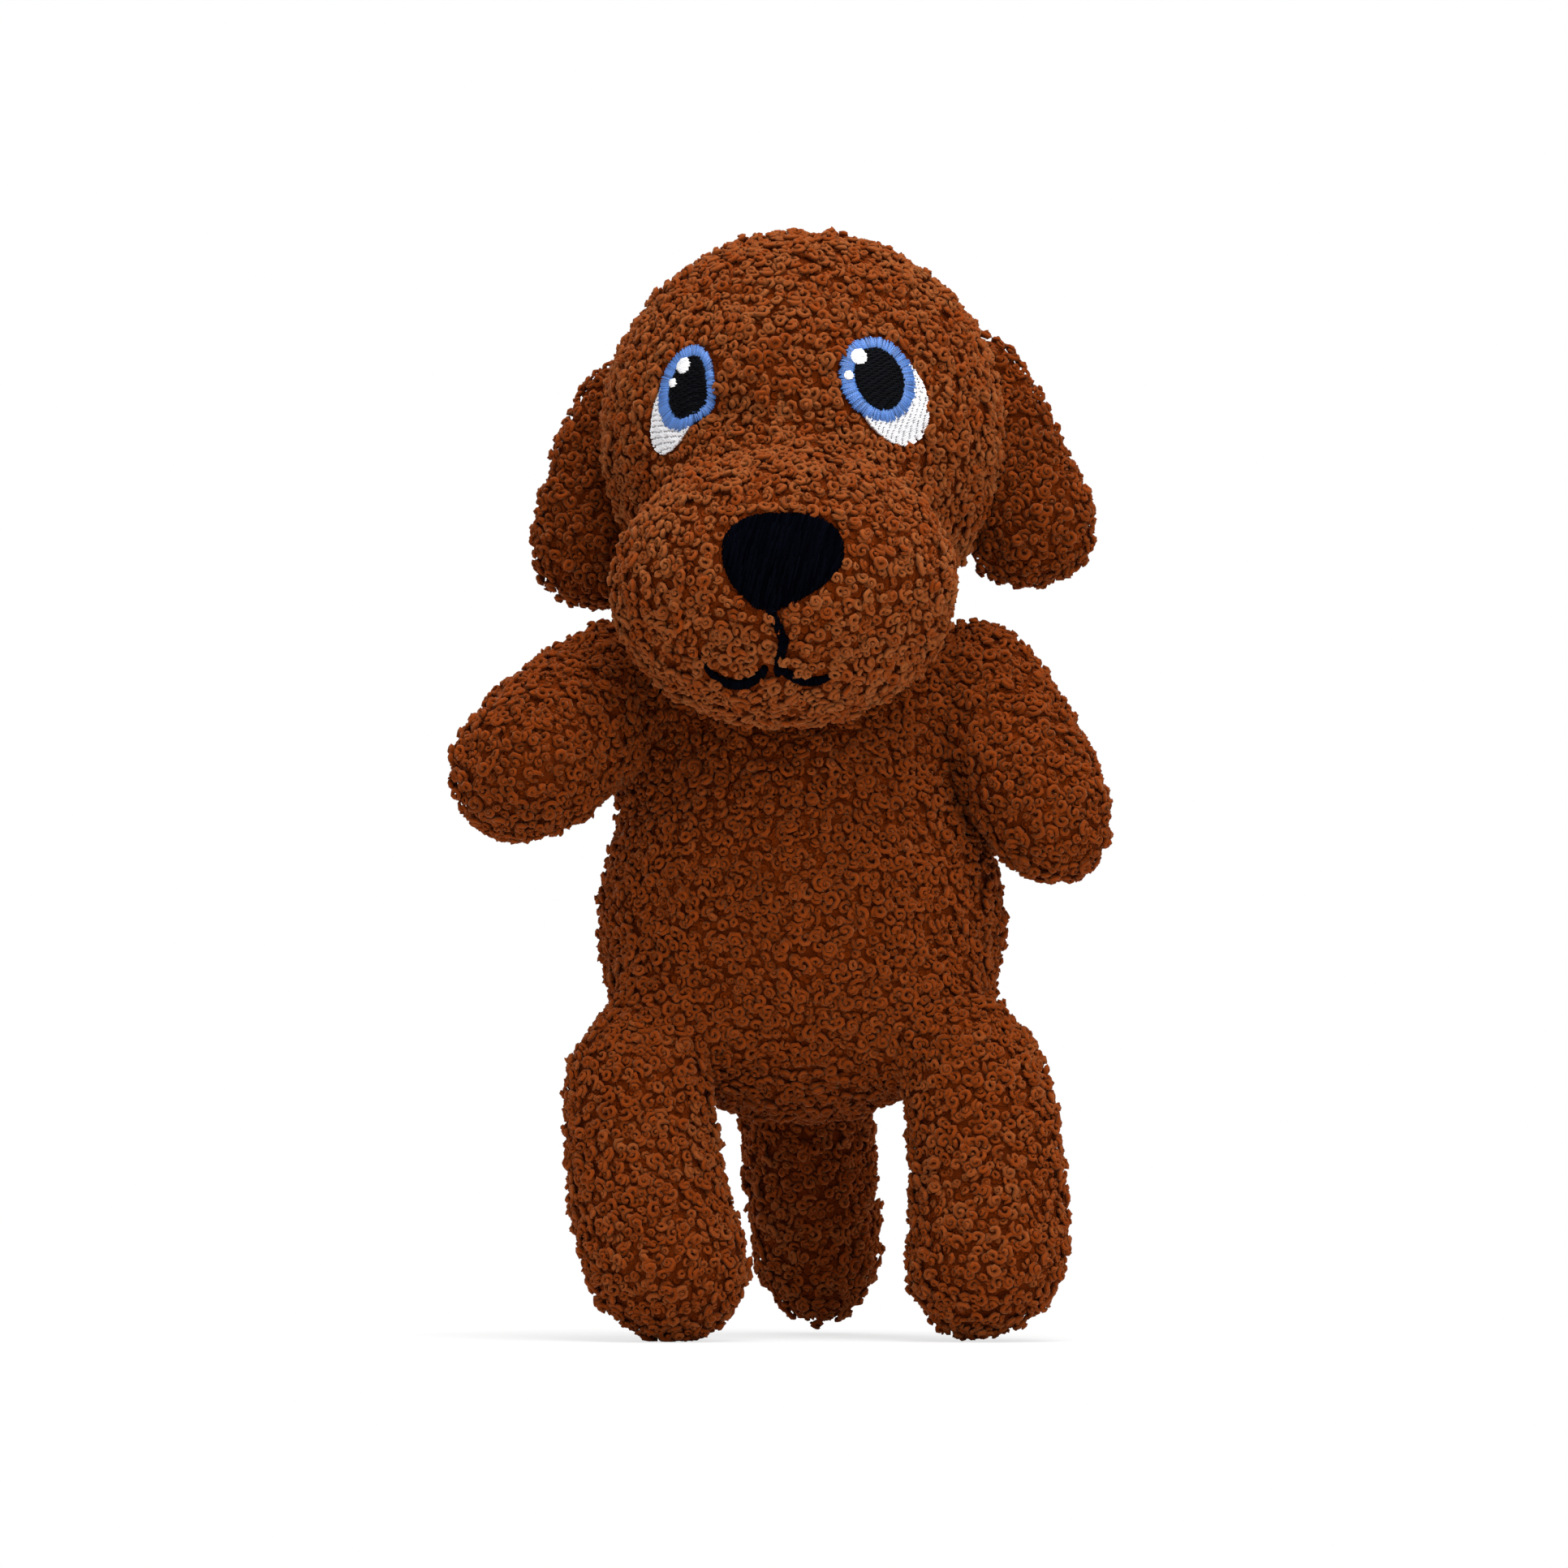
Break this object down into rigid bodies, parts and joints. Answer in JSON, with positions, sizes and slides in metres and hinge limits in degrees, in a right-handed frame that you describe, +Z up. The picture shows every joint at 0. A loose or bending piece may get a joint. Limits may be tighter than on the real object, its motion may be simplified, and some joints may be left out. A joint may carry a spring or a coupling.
{
  "type": "plush dog",
  "caption": "Upright stuffed puppy in curly russet fleece with drooping ears, a broad muzzle and embroidered eyes, nose and mouth; its head, ears, limbs and tail move on soft stuffed joints.",
  "frame": {"origin": "on the ground, at the middle of the dog's outline seen from above", "axes": "+Z up, the dog faces -Y, its own left side is +X"},
  "size_m": [0.1689, 0.1532, 0.277],
  "materials": {
    "pile": "russet-brown curly fleece of small looped tufts, matte",
    "stuffing": "loose off-white polyester fibre",
    "white_thread": "white embroidery thread with a satin sheen",
    "blue_thread": "blue embroidery thread with a satin sheen",
    "black_thread": "black embroidery thread with a satin sheen"
  },
  "bodies": {
    "torso": {"torso_front_panel": "pile", "torso_back_panel": "pile", "torso_stuffing": "stuffing"},
    "neck": {"neck_stuffing": "stuffing"},
    "head": {"head_front_panel": "pile", "head_back_panel": "pile", "head_stuffing": "stuffing", "muzzle_front_panel": "pile", "muzzle_chin_panel": "pile", "muzzle_stuffing": "stuffing", "left_eye_white": "white_thread", "left_eye_iris": "blue_thread", "left_eye_pupil": "black_thread", "left_eye_glint": "white_thread", "left_eye_spark": "white_thread", "right_eye_white": "white_thread", "right_eye_iris": "blue_thread", "right_eye_pupil": "black_thread", "right_eye_glint": "white_thread", "right_eye_spark": "white_thread", "nose": "black_thread", "mouth_line": "black_thread", "left_smile": "black_thread", "right_smile": "black_thread"},
    "left_ear": {"left_ear_front_panel": "pile", "left_ear_back_panel": "pile", "left_ear_stuffing": "stuffing"},
    "right_ear": {"right_ear_front_panel": "pile", "right_ear_back_panel": "pile", "right_ear_stuffing": "stuffing"},
    "left_arm": {"left_arm_front_panel": "pile", "left_arm_back_panel": "pile", "left_arm_stuffing": "stuffing"},
    "right_arm": {"right_arm_front_panel": "pile", "right_arm_back_panel": "pile", "right_arm_stuffing": "stuffing"},
    "left_leg": {"left_leg_front_panel": "pile", "left_leg_back_panel": "pile", "left_leg_stuffing": "stuffing"},
    "right_leg": {"right_leg_front_panel": "pile", "right_leg_back_panel": "pile", "right_leg_stuffing": "stuffing"},
    "tail": {"tail_front_panel": "pile", "tail_back_panel": "pile", "tail_stuffing": "stuffing"}
  },
  "joints": [
    {"name": "head_turn", "type": "hinge", "parent": "torso", "child": "neck", "pos_m": [0.00186, 0.00999, 0.149], "axis": [0, 0, 1], "range_deg": [-8, 15], "stiffness_Nm_per_rad": 0.25},
    {"name": "head_nod", "type": "hinge", "parent": "neck", "child": "head", "pos_m": [0.00186, 0.00999, 0.149], "axis": [0.9954, -0.0958, 0], "range_deg": [-12, 10], "stiffness_Nm_per_rad": 0.35},
    {"name": "left_ear_lift", "type": "hinge", "parent": "head", "child": "left_ear", "pos_m": [0.04965, 0.01275, 0.2455], "axis": [-0.0958, -0.9954, 0], "range_deg": [0, 50], "stiffness_Nm_per_rad": 0.012},
    {"name": "right_ear_lift", "type": "hinge", "parent": "head", "child": "right_ear", "pos_m": [-0.04497, 0.02186, 0.24218], "axis": [0.0958, 0.9954, 0], "range_deg": [0, 50], "stiffness_Nm_per_rad": 0.012},
    {"name": "left_arm_raise", "type": "hinge", "parent": "torso", "child": "left_arm", "pos_m": [0.04537, 0.0031, 0.16039], "axis": [-0.2351, -0.9071, 0.349], "range_deg": [0, 65], "stiffness_Nm_per_rad": 0.06},
    {"name": "right_arm_raise", "type": "hinge", "parent": "torso", "child": "right_arm", "pos_m": [-0.04165, 0.0031, 0.16039], "axis": [-0.2831, 0.6957, -0.6602], "range_deg": [0, 50], "stiffness_Nm_per_rad": 0.06},
    {"name": "left_leg_swing", "type": "hinge", "parent": "torso", "child": "left_leg", "pos_m": [0.04004, -0.01591, 0.07175], "axis": [-0.6698, -0.7425, 0.0133], "range_deg": [0, 80], "stiffness_Nm_per_rad": 0.5},
    {"name": "right_leg_swing", "type": "hinge", "parent": "torso", "child": "right_leg", "pos_m": [-0.03633, -0.01591, 0.07175], "axis": [-0.5931, 0.7899, -0.1557], "range_deg": [0, 80], "stiffness_Nm_per_rad": 0.5},
    {"name": "tail_wag", "type": "hinge", "parent": "torso", "child": "tail", "pos_m": [0.00186, 0.05147, 0.06928], "axis": [0, -0.9862, -0.1654], "range_deg": [-25, 25], "stiffness_Nm_per_rad": 0.25}
  ]
}
